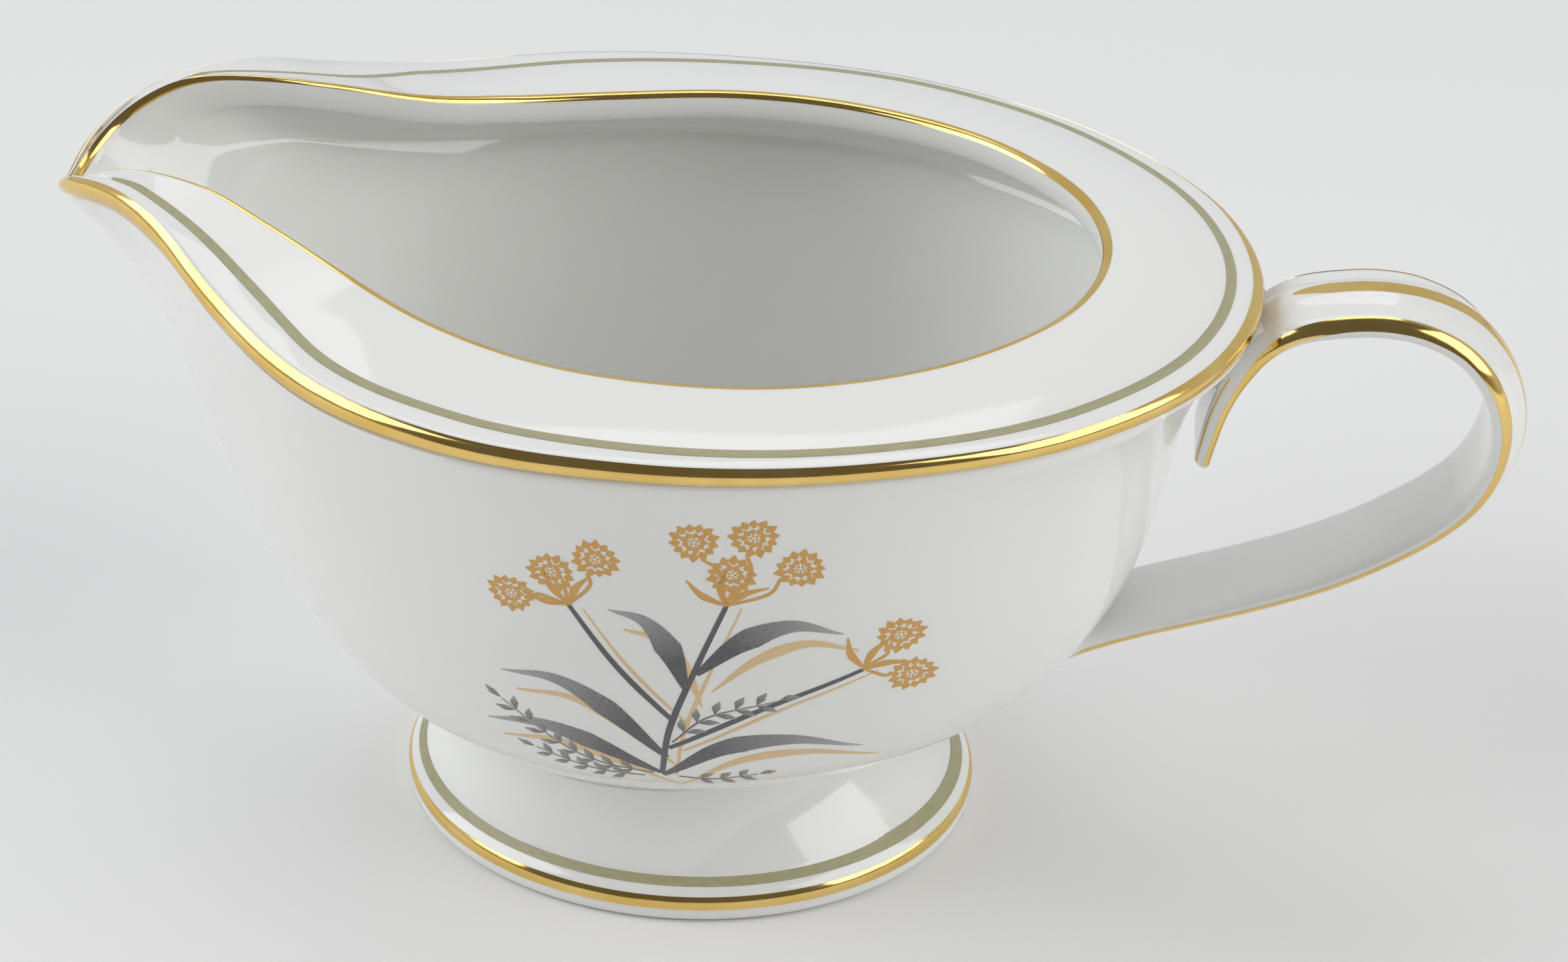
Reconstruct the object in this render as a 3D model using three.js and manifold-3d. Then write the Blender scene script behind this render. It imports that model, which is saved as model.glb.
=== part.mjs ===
// Porcelain cream jug: boat-shaped bowl with a broad collar, flared oval foot and strap handle.
// Millimetres, +Z up. The spout points to -X and the handle to +X.
import * as THREE from 'three';
import { mergeVertices } from 'three/addons/utils/BufferGeometryUtils.js';
import Module from 'manifold-3d';

const wasm = await Module();
wasm.setup();

// ---- driving dimensions ----
const ORIGIN_SHIFT = 10.26; // from the centre of the foot to the middle of the overall length
const BASE = 1.0; // plain rolled edge of the foot below the plane that heights are measured from
const WALL = 2.8; // thickness of the bowl wall
const FLOOR = 3.2; // thickness of the bowl's bottom
const WAIST = { x: 24.6, y: 24.2, z: 17.0, centre: -3.1 }; // where the bowl sits on the foot
const FOOT = { x: 33.35, y: 28.0, centre: -0.35, oliveZ: 4.0, oliveInset: 2.2, wall: 3.4, top: 16.4 };
const OLIVE = { rise: 1.35, half: 0.55 }; // olive line on the collar
const CREST_LINE_HALF = 0.32;
const FILM = 0.3; // thickness given to every fired-on band
const RECESS = 0.55; // depth the ware is set back under a band
const LIP_DEPTH = 3.4; // height of the rounded inner lip
const STRAP = { half: 6.3, thick: 1.2, ridge: 1.0, swell: 1.4 };
const LUTE = { near: 0.15, far: 0.45, clear: 0.6 }; // slip layer between castings

// Outer edge of the collar: angle from the handle, radius, height, radius of its roll, inset of the olive line.
const RIM_EDGE = [
  [0, 60.6, 68.9, 1.3, 3.6], [15, 59.2, 68.9, 1.25, 3.5], [35, 54.3, 69.1, 1.15, 3.0],
  [60, 48.5, 69.5, 1.1, 2.5], [90, 45.9, 69.5, 1.2, 2.9], [115, 47.8, 69.8, 1.35, 3.7],
  [135, 50.5, 70.8, 1.6, 4.0], [150, 53.5, 74.1, 1.7, 5.0], [160, 57.0, 77.4, 1.6, 4.2],
  [167, 61.4, 78.0, 1.4, 2.9], [172, 65.9, 76.4, 1.3, 2.2], [176, 68.3, 74.0, 1.2, 1.6],
  [180, 69.0, 71.6, 1.1, 1.2],
];
// Inner crest of the collar: angle from the handle, radius, height.
const RIM_CREST = [
  [0, 44.0, 72.5], [15, 43.0, 72.4], [35, 39.5, 72.3], [60, 35.3, 72.1], [90, 32.7, 72.1],
  [115, 33.0, 72.2], [135, 35.6, 73.2], [150, 39.9, 75.2], [160, 46.2, 78.0], [166, 52.3, 79.8],
  [169.5, 59.1, 80.0], [172.5, 64.4, 77.2], [176, 66.9, 74.6], [180, 67.7, 73.0],
];
// The bowl below the collar is an egg in plan: handle end, half width, spout end, squareness there.
const EGG = { back: 59.1, half: 44.8, front: 60.3, nose: 1.78, pinch: 8 };
// Fullness of the wall's profile low down and high up, and the share of late flare.
const SIDE = { low: 1.45, high: 2.1, flare: 0 };
const BACK = { low: 3.1, high: 2.2, flare: 0.16 };
const FRONT = { low: 1.2, high: 2.6, flare: 0 };

// Centre line of the handle strap in the plane of the jug, from the spur's tip to the lower root.
const HANDLE_PATH = [
  [55.6, 50.4], [56.2, 53.9], [57.0, 57.4], [58.4, 61.0], [60.7, 64.6], [64.0, 67.1], [68.2, 68.3],
  [72.8, 68.8], [77.2, 68.2], [81.5, 66.1], [84.7, 62.4], [86.4, 57.8], [86.4, 52.9], [84.7, 48.2],
  [81.4, 44.2], [76.5, 40.3], [70.6, 36.6], [64.3, 33.6], [57.6, 30.9], [51.0, 28.4], [45.2, 25.8],
  [39.5, 22.7],
];
// Block that carries the strap's upper end to the wall.
const ROOT_BLOCK = [[50, 59.2], [56.9, 58.9], [58.6, 62.0], [60.8, 64.9], [62.4, 66.6], [59.2, 66.3],
  [57.0, 65.6], [50, 65.2]];

// Half of the ring of stations, closer together towards the narrow spout.
const STATIONS = [0, 13, 26, 39, 52, 65, 78, 90, 102, 114, 125, 135, 143, 149.5, 155, 159.5, 163, 166,
  168.7, 171.2, 173.7, 176.6, 180];

// Heights at which the wall is drawn, as shares of the way from the waist to the rolled edge.
const WALL_SHARES = [0.01, 0.035, 0.08, 0.145, 0.23, 0.34, 0.47, 0.61, 0.74, 0.85, 0.93, 1];

// ---- curves ----
function through(rows, column) {
  const slope = rows.map((row, i) => {
    if (i === 0 || i === rows.length - 1) return 0;
    const a = (row[column] - rows[i - 1][column]) / (row[0] - rows[i - 1][0]);
    const b = (rows[i + 1][column] - row[column]) / (rows[i + 1][0] - row[0]);
    return (a + b) / 2;
  });
  return (angle) => {
    const at = Math.min(Math.abs(angle), 180);
    let i = 0;
    while (i < rows.length - 2 && at > rows[i + 1][0]) i += 1;
    const width = rows[i + 1][0] - rows[i][0];
    const t = (at - rows[i][0]) / width;
    const u = 1 - t;
    return rows[i][column] * (1 + 2 * t) * u * u + rows[i + 1][column] * (3 - 2 * t) * t * t
      + width * (slope[i] * t * u * u - slope[i + 1] * u * t * t);
  };
}
const edgeRadius = through(RIM_EDGE, 1);
const edgeHeight = through(RIM_EDGE, 2);
const edgeRoll = through(RIM_EDGE, 3);
const oliveInset = through(RIM_EDGE, 4);
const crestRadius = through(RIM_CREST, 1);
const crestHeight = through(RIM_CREST, 2);

function clamp01(value) {
  return Math.min(1, Math.max(0, value));
}
function vec(x, y, z) {
  return new THREE.Vector3(x, y, z);
}
function polar(angle, radius, z) {
  const a = THREE.MathUtils.degToRad(angle);
  return vec(radius * Math.cos(a), radius * Math.sin(a), z);
}
function outward(angle) {
  return polar(angle, 1, 0);
}
function waistPoint(angle, inset, z) {
  const a = THREE.MathUtils.degToRad(angle);
  return vec(WAIST.centre + (WAIST.x - inset) * Math.cos(a), (WAIST.y - inset) * Math.sin(a), z);
}

function eggRadius(angle) {
  const a = THREE.MathUtils.degToRad(angle);
  const [reach, power] = Math.cos(a) > 0 ? [EGG.back, 2] : [EGG.front, EGG.nose];
  const along = Math.abs(Math.cos(a)) / reach;
  const across = Math.abs(Math.sin(a)) / EGG.half;
  return (along ** power + across ** power) ** (-1 / power);
}
function swell(angle) {
  const a = THREE.MathUtils.degToRad(angle);
  const end = Math.cos(a) > 0 ? BACK : FRONT;
  const side = Math.sin(a) ** 2;
  const mix = (key) => end[key] + (SIDE[key] - end[key]) * side;
  return { low: mix('low'), high: mix('high'), flare: mix('flare') };
}

// Point of the outer wall: share is 0 at the waist and 1 under the rolled edge.
function wallPoint(angle, share, push = 0) {
  const foot = waistPoint(angle, 0, WAIST.z);
  const top = polar(angle, edgeRadius(angle) - 0.5, edgeHeight(angle) - 1.5);
  const egg = polar(angle, eggRadius(angle), 0);
  const { low, high, flare } = swell(angle);
  const place = (s) => {
    const full = (1 - flare) * (1 - (1 - s) ** low) ** (1 / high) + flare * s ** 8;
    const plan = egg.clone().lerp(top, s ** EGG.pinch);
    return vec(0, 0, 0).lerpVectors(foot, plan, full).setZ(foot.z + (top.z - foot.z) * s);
  };
  const point = place(share);
  if (push === 0) return point;
  const step = 0.004;
  const along = place(Math.min(1, share + step)).sub(place(Math.max(0, share - step)));
  const out = top.clone().sub(foot).setZ(0).normalize();
  const run = along.dot(out);
  const length = Math.hypot(run, along.z);
  return point.addScaledVector(out, (push * along.z) / length).add(vec(0, 0, (-push * run) / length));
}

// ---- solids from rings of points ----
function ringStations(stations) {
  return [...stations.slice(1, -1).map((a) => -a).reverse(), ...stations];
}
function solidOf(vertices, triangles) {
  const geometry = new THREE.BufferGeometry();
  const flat = vertices.flatMap((v) => [v.x, v.y, v.z]);
  geometry.setAttribute('position', new THREE.Float32BufferAttribute(flat, 3));
  geometry.setIndex(triangles);
  return geometry;
}
// Quads between neighbouring loops; a loop is a closed section.
function band(loops, closed) {
  const n = loops[0].length;
  const triangles = [];
  const last = closed ? loops.length : loops.length - 1;
  for (let i = 0; i < last; i += 1) {
    const a = i * n;
    const b = ((i + 1) % loops.length) * n;
    for (let j = 0; j < n; j += 1) {
      const k = (j + 1) % n;
      triangles.push(a + j, a + k, b + k, a + j, b + k, b + j);
    }
  }
  const vertices = loops.flat();
  if (!closed) {
    for (const [start, flip] of [[0, false], [(loops.length - 1) * n, true]]) {
      const contour = loops[start / n];
      const origin = contour[0];
      const across = contour.reduce((far, p) => (p.distanceTo(origin) > far.distanceTo(origin) ? p : far));
      const u = across.clone().sub(origin).normalize();
      const normal = vec(0, 0, 0);
      for (let j = 0; j < n; j += 1) {
        normal.add(contour[j].clone().sub(origin).cross(contour[(j + 1) % n].clone().sub(origin)));
      }
      const v = normal.normalize().cross(u);
      const flatPoints = contour.map((p) => {
        const d = p.clone().sub(origin);
        return new THREE.Vector2(d.dot(u), d.dot(v));
      });
      for (const [p, q, r] of THREE.ShapeUtils.triangulateShape(flatPoints, [])) {
        triangles.push(start + p, start + (flip ? q : r), start + (flip ? r : q));
      }
    }
  }
  return outwardFacing(solidOf(vertices, triangles));
}
// A skin whose every profile runs from one pole to the other.
function poleSkin(profiles) {
  const n = profiles[0].length - 2;
  const vertices = [profiles[0][0], profiles[0][n + 1], ...profiles.flatMap((p) => p.slice(1, -1))];
  const triangles = [];
  for (let i = 0; i < profiles.length; i += 1) {
    const a = 2 + i * n;
    const b = 2 + ((i + 1) % profiles.length) * n;
    triangles.push(0, a, b, 1, b + n - 1, a + n - 1);
    for (let j = 0; j < n - 1; j += 1) triangles.push(a + j, a + j + 1, b + j + 1, a + j, b + j + 1, b + j);
  }
  return outwardFacing(solidOf(vertices, triangles));
}
function outwardFacing(geometry) {
  const p = geometry.getAttribute('position');
  const index = geometry.getIndex().array;
  let volume = 0;
  for (let i = 0; i < index.length; i += 3) {
    const [a, b, c] = [0, 1, 2].map((k) => vec(0, 0, 0).fromBufferAttribute(p, index[i + k]));
    volume += a.dot(b.cross(c));
  }
  if (volume < 0) {
    const turned = Array.from(index);
    for (let i = 0; i < turned.length; i += 3) [turned[i + 1], turned[i + 2]] = [turned[i + 2], turned[i + 1]];
    geometry.setIndex(turned);
  }
  return geometry;
}
function toManifold(geometry) {
  const plain = geometry.clone();
  plain.deleteAttribute('normal');
  plain.deleteAttribute('uv');
  const merged = mergeVertices(plain, 1e-4);
  return new wasm.Manifold(new wasm.Mesh({
    numProp: 3,
    vertProperties: new Float32Array(merged.getAttribute('position').array),
    triVerts: new Uint32Array(merged.getIndex().array),
  }));
}
function fromManifold(solid) {
  const mesh = solid.getMesh();
  const geometry = new THREE.BufferGeometry();
  geometry.setAttribute('position', new THREE.Float32BufferAttribute(mesh.vertProperties, 3));
  geometry.setIndex(Array.from(mesh.triVerts));
  return geometry;
}

// The largest separate body of a cut solid.
function mainBody(solid) {
  return solid.decompose().sort((a, b) => b.volume() - a.volume())[0];
}

// ---- the collar's section at one angle ----
function collar(angle) {
  const edge = polar(angle, edgeRadius(angle), edgeHeight(angle));
  const crest = polar(angle, crestRadius(angle), crestHeight(angle));
  const width = edgeRadius(angle) - crestRadius(angle);
  const radius = Math.min(edgeRoll(angle), 0.45 + 0.42 * width);
  const out = outward(angle);
  // A point set in from the edge and raised above it.
  const at = (inset, rise) => edge.clone().addScaledVector(out, -inset).add(vec(0, 0, rise));
  const bead = (degrees, r) => {
    const a = THREE.MathUtils.degToRad(degrees);
    return at(radius - r * Math.cos(a), r * Math.sin(a));
  };
  const olive = Math.min(oliveInset(angle), 0.6 * width);
  const climb = crest.z - edge.z;
  const oliveRise = Math.min(OLIVE.rise, 0.7 * climb);
  // The shoulder: convex from the olive line up to the crest.
  const shoulder = (inset, lower = 0) => {
    const t = clamp01((inset - olive) / (width - olive));
    return at(inset, oliveRise + (climb - oliveRise) * (1 - (1 - t) ** 2) - lower);
  };
  return { width, radius, at, bead, olive, oliveRise, climb, shoulder };
}
const BEAD_TOP = 60; // upper limit of the gilding on the rolled edge, degrees above level
const BEAD_FOOT = -66;

// ---- 1. body: bowl wall, floor and collar in one casting ----
function bodyProfile(angle) {
  const c = collar(angle);
  const points = [vec(WAIST.centre, 0, WAIST.z), waistPoint(angle, 9, WAIST.z)];
  for (const share of [0, ...WALL_SHARES]) points.push(wallPoint(angle, share));
  const inner = c.radius - RECESS;
  points.push(c.bead(BEAD_FOOT - 6, c.radius));
  for (const degrees of [BEAD_FOOT - 6, -20, 25, BEAD_TOP + 6]) points.push(c.bead(degrees, inner));
  const wide = clamp01((c.width - 3.4) / 1.2);
  points.push(c.bead(BEAD_TOP + 8, c.radius));
  const half = Math.min(OLIVE.half + 0.12, 0.12 * c.width);
  points.push(c.at(c.olive - half - 0.02, c.oliveRise - 0.12));
  points.push(c.at(c.olive - half, c.oliveRise - 0.12 - RECESS * wide));
  points.push(c.shoulder(c.olive + half, RECESS * wide));
  points.push(c.shoulder(c.olive + half + 0.02, 0));
  const line = Math.min(CREST_LINE_HALF + 0.12, 0.2 * c.width);
  const shoulderRun = c.width - line - c.olive - half - 0.04;
  for (const t of [0.25, 0.5, 0.75]) points.push(c.shoulder(c.olive + half + 0.02 + shoulderRun * t));
  points.push(c.shoulder(c.width - line - 0.02, 0.02));
  points.push(c.shoulder(c.width - line, RECESS * wide + 0.03));
  points.push(c.at(c.width + line, c.climb - RECESS * wide - 0.1));
  points.push(c.at(c.width + line + 0.02, c.climb - 0.1));
  // Inner lip, the undercut beneath the collar, then the inside of the wall.
  const open = clamp01((c.width - 3) / 7);
  const height = edgeHeight(angle) - 1.5 - WAIST.z;
  const top = 1 - (5.5 * open + 4.5 * (1 - open)) / height;
  const wallTop = wallPoint(angle, top, -WALL);
  const lipTop = points[points.length - 1];
  const spout = (t) => lipTop.clone().lerp(wallTop, t);
  const blend = (t, inset, rise) => spout(t).lerp(c.at(inset, rise), open);
  points.push(blend(0.2, c.width + 0.75, c.climb - 0.9));
  points.push(blend(0.4, c.width + 0.7, c.climb - 0.65 * LIP_DEPTH));
  points.push(blend(0.6, c.width - 0.6, c.climb - LIP_DEPTH));
  points.push(blend(0.8, 0.5 * c.width + 1.4, -2.2));
  points.push(wallTop);
  for (const share of [0.82, 0.66, 0.5, 0.35, 0.22, 0.12, 0.055]) {
    points.push(wallPoint(angle, share * top, -WALL));
  }
  points.push(waistPoint(angle, 6, WAIST.z + FLOOR));
  points.push(vec(WAIST.centre, 0, WAIST.z + FLOOR));
  return points;
}
const body = poleSkin(ringStations(STATIONS).map(bodyProfile));

// The bowl without its collar, grown by a margin; used to fit other castings to the wall.
function wallForm(margin) {
  return toManifold(poleSkin(ringStations(STATIONS).map((angle) => [
    vec(WAIST.centre, 0, WAIST.z - margin),
    ...WALL_SHARES.map((share) => wallPoint(angle, share, margin)),
    vec(0, 0, edgeHeight(0) - 1.5),
  ])));
}

// ---- 2. foot: hollow flared ring, with its slip joint to the bowl ----
function footPoint(angle, inset, z) {
  const a = THREE.MathUtils.degToRad(angle);
  const normal = vec(Math.cos(a) / FOOT.x, Math.sin(a) / FOOT.y, 0).normalize();
  return vec(FOOT.centre + FOOT.x * Math.cos(a), FOOT.y * Math.sin(a), z)
    .addScaledVector(normal, -inset);
}
function footFlare(angle, share, inset = 0) {
  const low = footPoint(angle, FOOT.oliveInset, FOOT.oliveZ);
  const high = waistPoint(angle, 0.2, FOOT.top);
  const z = low.z + (high.z - low.z) * share;
  const point = low.lerp(high, 1 - (1 - share) ** 2.2).setZ(z);
  const centre = vec(WAIST.centre, 0, z);
  return point.addScaledVector(point.clone().sub(centre).normalize(), -inset);
}
const FOOT_ANGLES = Array.from({ length: 40 }, (_, i) => i * 9);
const foot = band(FOOT_ANGLES.map((angle) => [
  footPoint(angle, 1.3, -BASE),
  footPoint(angle, 0.3, 0.5 - BASE),
  footPoint(angle, 0.05, 0.3),
  footPoint(angle, 0.15, 0.75),
  footPoint(angle, 0.55, 0.95),
  footPoint(angle, 0.6, 2.2),
  footPoint(angle, 0.3, 2.45),
  footPoint(angle, 1.2, 3.2),
  footPoint(angle, 1.55, 3.35 - RECESS + 0.1),
  footPoint(angle, 2.75, 4.4 - RECESS + 0.1),
  footFlare(angle, 0.08),
  footFlare(angle, 0.25),
  footFlare(angle, 0.5),
  footFlare(angle, 0.75),
  footFlare(angle, 1),
  waistPoint(angle, FOOT.wall, FOOT.top),
  footFlare(angle, 0.6, FOOT.wall),
  footFlare(angle, 0.15, FOOT.wall + 0.4),
  footPoint(angle, 5.2, 1.4),
  footPoint(angle, 4.2, -BASE),
]), true);
const footJoint = band(FOOT_ANGLES.map((angle) => [
  waistPoint(angle, 0.5, FOOT.top + LUTE.near),
  waistPoint(angle, 0.5, FOOT.top + LUTE.far),
  waistPoint(angle, FOOT.wall - 0.2, FOOT.top + LUTE.far),
  waistPoint(angle, FOOT.wall - 0.2, FOOT.top + LUTE.near),
]), true);

// ---- 3. handle: ridged strap with a free spur below its upper end ----
const path = new THREE.CatmullRomCurve3(HANDLE_PATH.map(([x, z]) => vec(x, 0, z)), false, 'centripetal');
const STRIPE = { start: 0.185, end: 0.475 }; // centre stripe's share of the strap's length
function strapFrame(t) {
  const along = path.getTangentAt(t);
  return { centre: path.getPointAt(t), normal: vec(-along.z, 0, along.x).normalize() };
}
function strapLoop(t, section) {
  const { centre, normal } = strapFrame(t);
  const slim = 0.72 + 0.28 * clamp01(t / 0.12);
  return section(t).map(([y, n]) => centre.clone().addScaledVector(normal, n * slim).setY(y));
}
function ridge(t) {
  return STRAP.ridge * clamp01((t - 0.1) / 0.08) + STRAP.swell * clamp01((t - 0.28) / 0.18);
}
function mirrored(half) {
  return [...half.map(([y, n]) => [-y, n]), ...half.slice().reverse()];
}
function strapSection(t) {
  const sunk = t > STRIPE.start - 0.006 && t < STRIPE.end + 0.006 ? RECESS : 0;
  return mirrored([
    [0.95, STRAP.thick + ridge(t) * 0.72 - sunk],
    [1.1, STRAP.thick + ridge(t) * 0.68],
    [3.3, STRAP.thick + ridge(t) * 0.14],
    [4.95, STRAP.thick],
    [5.0, STRAP.thick - RECESS],
    [5.7, 0.15],
    [5.75, -0.2],
    [STRAP.half - 0.02, -0.3],
    [5.8, -STRAP.thick + 0.1],
    [2.4, -STRAP.thick - 0.05],
  ]);
}
const SPAN = Array.from({ length: 35 }, (_, i) => i / 34);
function swept(from, to, section) {
  const inside = SPAN.filter((t) => t > from + 0.004 && t < to - 0.004);
  return band([from, ...inside, to].map((t) => strapLoop(t, section)), false);
}
const block = band([-4.2, 4.2].map((y) => ROOT_BLOCK.map(([x, z]) => vec(x, y, z))), false);
const trim = wallForm(LUTE.clear);
const rough = toManifold(swept(0, 1, strapSection)).add(toManifold(block));
const handle = mainBody(rough.subtract(trim));

// Slip joints: the thin layer between the wall and each root of the handle.
const layer = wallForm(LUTE.far).subtract(wallForm(LUTE.near));
const ROOTS = { x: 53, length: 30, width: 9.2 }; // plan of the space that both roots lie in
function joint(low, high) {
  const space = new THREE.BoxGeometry(ROOTS.length, ROOTS.width, high - low);
  space.translate(ROOTS.x, 0, (low + high) / 2);
  return mainBody(rough.intersect(layer).intersect(toManifold(space)));
}
const upperJoint = joint(59.6, 64.9);
const lowerJoint = joint(20, 34);

// ---- 4. fired-on bands ----
function aroundBowl(limit, section) {
  const kept = limit === 180 ? STATIONS : [...STATIONS.filter((a) => a < limit - 0.8), limit];
  const angles = limit === 180 ? ringStations(kept) : [...kept.slice(1).map((a) => -a).reverse(), ...kept];
  return band(angles.map((angle) => section(collar(angle))), limit === 180);
}
const giltEdge = aroundBowl(180, (c) => {
  const angles = [BEAD_FOOT, -25, 15, BEAD_TOP];
  return [
    ...angles.map((a) => c.bead(a, c.radius)),
    ...angles.slice().reverse().map((a) => c.bead(a, c.radius - FILM)),
  ];
});
function flatBand(c, centre, half) {
  const points = [centre - half, centre + half].map((inset) => c.shoulder(inset, 0.03));
  return [...points, ...points.slice().reverse().map((p) => p.clone().setZ(p.z - FILM))];
}
const oliveCollar = aroundBowl(166.5, (c) => flatBand(c, c.olive, OLIVE.half));
const giltCrest = aroundBowl(168.5, (c) => {
  const outer = c.shoulder(c.width - CREST_LINE_HALF, 0.02);
  const inner = c.at(c.width + CREST_LINE_HALF, c.climb - 0.06);
  return [outer, inner, ...[inner, outer].map((p) => p.clone().setZ(p.z - FILM))];
});
const giltFoot = band(FOOT_ANGLES.map((angle) => [
  footPoint(angle, 0.12, 1.1),
  footPoint(angle, 0, 1.6),
  footPoint(angle, 0.1, 2.1),
  footPoint(angle, 0.4, 2.1),
  footPoint(angle, 0.3, 1.6),
  footPoint(angle, 0.42, 1.1),
]), true);
const oliveFoot = band(FOOT_ANGLES.map((angle) => [
  footPoint(angle, 1.72, 3.5),
  footPoint(angle, 2.55, 4.3),
  footPoint(angle, 2.68, 4.16),
  footPoint(angle, 1.86, 3.32),
]), true);

const giltStripe = swept(STRIPE.start, STRIPE.end, (t) => mirrored([
  [0.78, STRAP.thick + ridge(t) * 0.75],
  [0.78, STRAP.thick + ridge(t) * 0.75 - FILM],
]));
function giltSide(side) {
  const strip = swept(0.012, 0.965, () => [
    [5.15, STRAP.thick - 0.02], [5.95, 0.85], [STRAP.half - 0.02, -0.05],
    [STRAP.half - 0.32, -0.05], [5.72, 0.55], [5.15, STRAP.thick - 0.32],
  ].map(([y, n]) => [side * y, n]));
  return fromManifold(mainBody(toManifold(strip).subtract(trim)));
}

// ---- 5. printed spray on the near wall: separate patches of enamel ----
// Places on the near wall are given by x along the jug and z above its base.
function onWall(x, z, lift) {
  let angle = -90;
  let share = 0;
  for (let i = 0; i < 12; i += 1) {
    share = (z - WAIST.z) / (edgeHeight(angle) - 1.5 - WAIST.z);
    const here = wallPoint(angle, share, lift);
    angle += THREE.MathUtils.radToDeg((x - here.x) / Math.hypot(here.x, here.y));
  }
  return wallPoint(angle, share, lift);
}
// A leaf or stem along a bent line, with its width given at even steps.
function blade(points, widths, steps) {
  const line = new THREE.CatmullRomCurve3(points.map(([x, z]) => vec(x, z, 0)));
  return band(Array.from({ length: steps + 1 }, (_, i) => {
    const t = i / steps;
    const p = line.getPointAt(t);
    const d = line.getTangentAt(t);
    const at = t * (widths.length - 1);
    const k = Math.min(Math.floor(at), widths.length - 2);
    const half = (widths[k] + (widths[k + 1] - widths[k]) * (at - k)) / 2;
    const side = (sign, lift) => onWall(p.x - d.y * half * sign, p.y + d.x * half * sign, lift);
    return [side(1, LUTE.near), side(-1, LUTE.near), side(-1, LUTE.far), side(1, LUTE.far)];
  }), false);
}
// A round flower head with a notched edge.
function bloom(x, z, radius) {
  const petals = 14;
  const ring = (lift) => Array.from({ length: petals }, (_, i) => {
    const a = (i / petals) * 2 * Math.PI;
    const r = radius * (i % 2 === 0 ? 1 : 0.78);
    return onWall(x + r * Math.cos(a), z + r * Math.sin(a), lift);
  });
  return band([ring(LUTE.near), ring(LUTE.far)], false);
}
const STEM_WIDTHS = [0.9, 0.8, 0.7, 0.6];
const STEMS = {
  main: [[1.5, 25], [2.9, 34], [6, 44], [9.2, 53]],
  left: [[1.3, 37], [-2.4, 44], [-6.6, 51.5]],
  right: [[5, 31.5], [12.5, 37.6], [22.5, 42.8]],
};
const BLADE_WIDTHS = [0.7, 1.9, 2.6, 2.3, 1.5, 0.5];
const BLADES = {
  low_left: [[0.3, 30], [-3.4, 36.6], [-8.6, 40], [-14.6, 39.6]],
  low_right: [[3.4, 26], [8.4, 30.8], [15.4, 32], [22.4, 29.4]],
  mid_left: [[3.6, 41.5], [3.3, 46.6], [1, 50.4], [-2.6, 51.6]],
  mid_right: [[8, 43.5], [11, 48], [15.6, 50], [20.6, 48.4]],
  outer_left: [[-0.8, 25.6], [-5.4, 30], [-11, 31.8], [-17, 30.4]],
};
const BLOOMS = [
  [9.8, 57.2], [6.2, 61.4], [12, 62], [16.4, 57.8], [-8.2, 55.6], [-3.6, 58.2], [-12.6, 51.6],
  [26.2, 47.2], [27.4, 41],
];
const BLOOM_RADIUS = 2.5;

const MATERIALS = {
  glaze: { color: 0xe9ebe8, roughness: 0.12, metalness: 0 },
  slip: { color: 0xdcdcd6, roughness: 0.6, metalness: 0 },
  gold: { color: 0xd9a93c, roughness: 0.18, metalness: 1 },
  olive: { color: 0xa5a073, roughness: 0.35, metalness: 0 },
  ochre: { color: 0xd7a55a, roughness: 0.4, metalness: 0 },
  charcoal: { color: 0x505255, roughness: 0.35, metalness: 0 },
};
const group = new THREE.Group();
group.name = 'cream_jug';
function place(name, geometry, material) {
  const mesh = new THREE.Mesh(geometry, new THREE.MeshStandardMaterial(MATERIALS[material]));
  mesh.geometry.translate(-ORIGIN_SHIFT, 0, BASE);
  mesh.name = name;
  group.add(mesh);
}

place('body_casting', body, 'glaze');
place('foot_casting', foot, 'glaze');
place('handle_casting', fromManifold(handle), 'glaze');
place('foot_slip_joint', footJoint, 'slip');
place('handle_upper_slip_joint', fromManifold(upperJoint), 'slip');
place('handle_lower_slip_joint', fromManifold(lowerJoint), 'slip');
place('gilt_rim_edge', giltEdge, 'gold');
place('gilt_rim_crest', giltCrest, 'gold');
place('olive_collar_band', oliveCollar, 'olive');
place('gilt_foot_edge', giltFoot, 'gold');
place('olive_foot_band', oliveFoot, 'olive');
place('gilt_handle_stripe', giltStripe, 'gold');
place('gilt_handle_near_edge', giltSide(-1), 'gold');
place('gilt_handle_far_edge', giltSide(1), 'gold');
Object.entries(STEMS).forEach(([name, line]) => {
  place(`print_stem_${name}`, blade(line, STEM_WIDTHS, 6), 'charcoal');
});
Object.entries(BLADES).forEach(([name, line]) => {
  place(`print_leaf_${name}`, blade(line, BLADE_WIDTHS, 6), 'charcoal');
});
BLOOMS.forEach(([x, z], i) => place(`print_bloom_${i + 1}`, bloom(x, z, BLOOM_RADIUS), 'ochre'));

export default group;
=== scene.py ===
"""Porcelain cream jug: glazed ware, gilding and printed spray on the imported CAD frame.

Shapes are worked out in millimetres about the centre of the foot, with the spout
towards -X, and are turned into metres in the row frame when a mesh is made.
"""

import math

import bmesh
import bpy
import numpy as np
from mathutils import Matrix, Vector
from mathutils.bvhtree import BVHTree


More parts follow.
